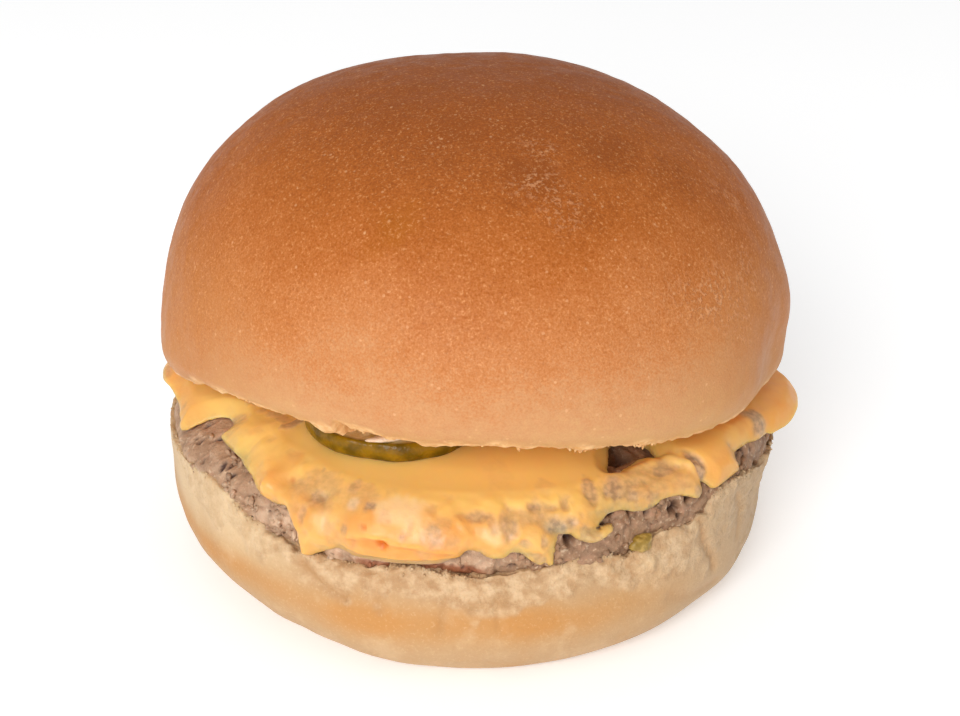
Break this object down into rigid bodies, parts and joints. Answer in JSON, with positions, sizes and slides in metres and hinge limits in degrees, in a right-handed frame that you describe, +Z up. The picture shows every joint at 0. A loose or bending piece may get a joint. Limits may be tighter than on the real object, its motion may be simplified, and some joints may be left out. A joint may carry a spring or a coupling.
{
  "type": "cheeseburger",
  "caption": "Cheeseburger: round bun crown tipped open at the front over a pickle slice, a melted cheese slice and a coarse beef patty on a bun heel.",
  "frame": {"origin": "the middle of the heel's flat base, on the surface that the burger stands on", "axes": "+Z up; the bun's open side, which the picture shows, faces -Y; +X is to the right as seen from there"},
  "size_m": [0.104, 0.0996, 0.0799],
  "materials": {
    "bun_heel": "matt pale bread with a soft skin and an open, torn crumb at the cut edge",
    "beef": "coarse, moist ground beef with dark pits",
    "cheese": "melted processed cheese, smooth, satin, slightly translucent where thin",
    "pickle": "wet, olive-green pickle skin round pale translucent flesh",
    "onion": "wet, white, translucent onion",
    "bun_crown": "satin golden-brown crust, darker on top, pale and matt at its cut rim"
  },
  "bodies": {
    "root": {"heel": "bun_heel", "patty": "beef", "cheese": "cheese", "pickle_slice": "pickle", "onion_sliver": "onion", "pickle_scrap": "pickle", "crown": "bun_crown"}
  },
  "joints": []
}
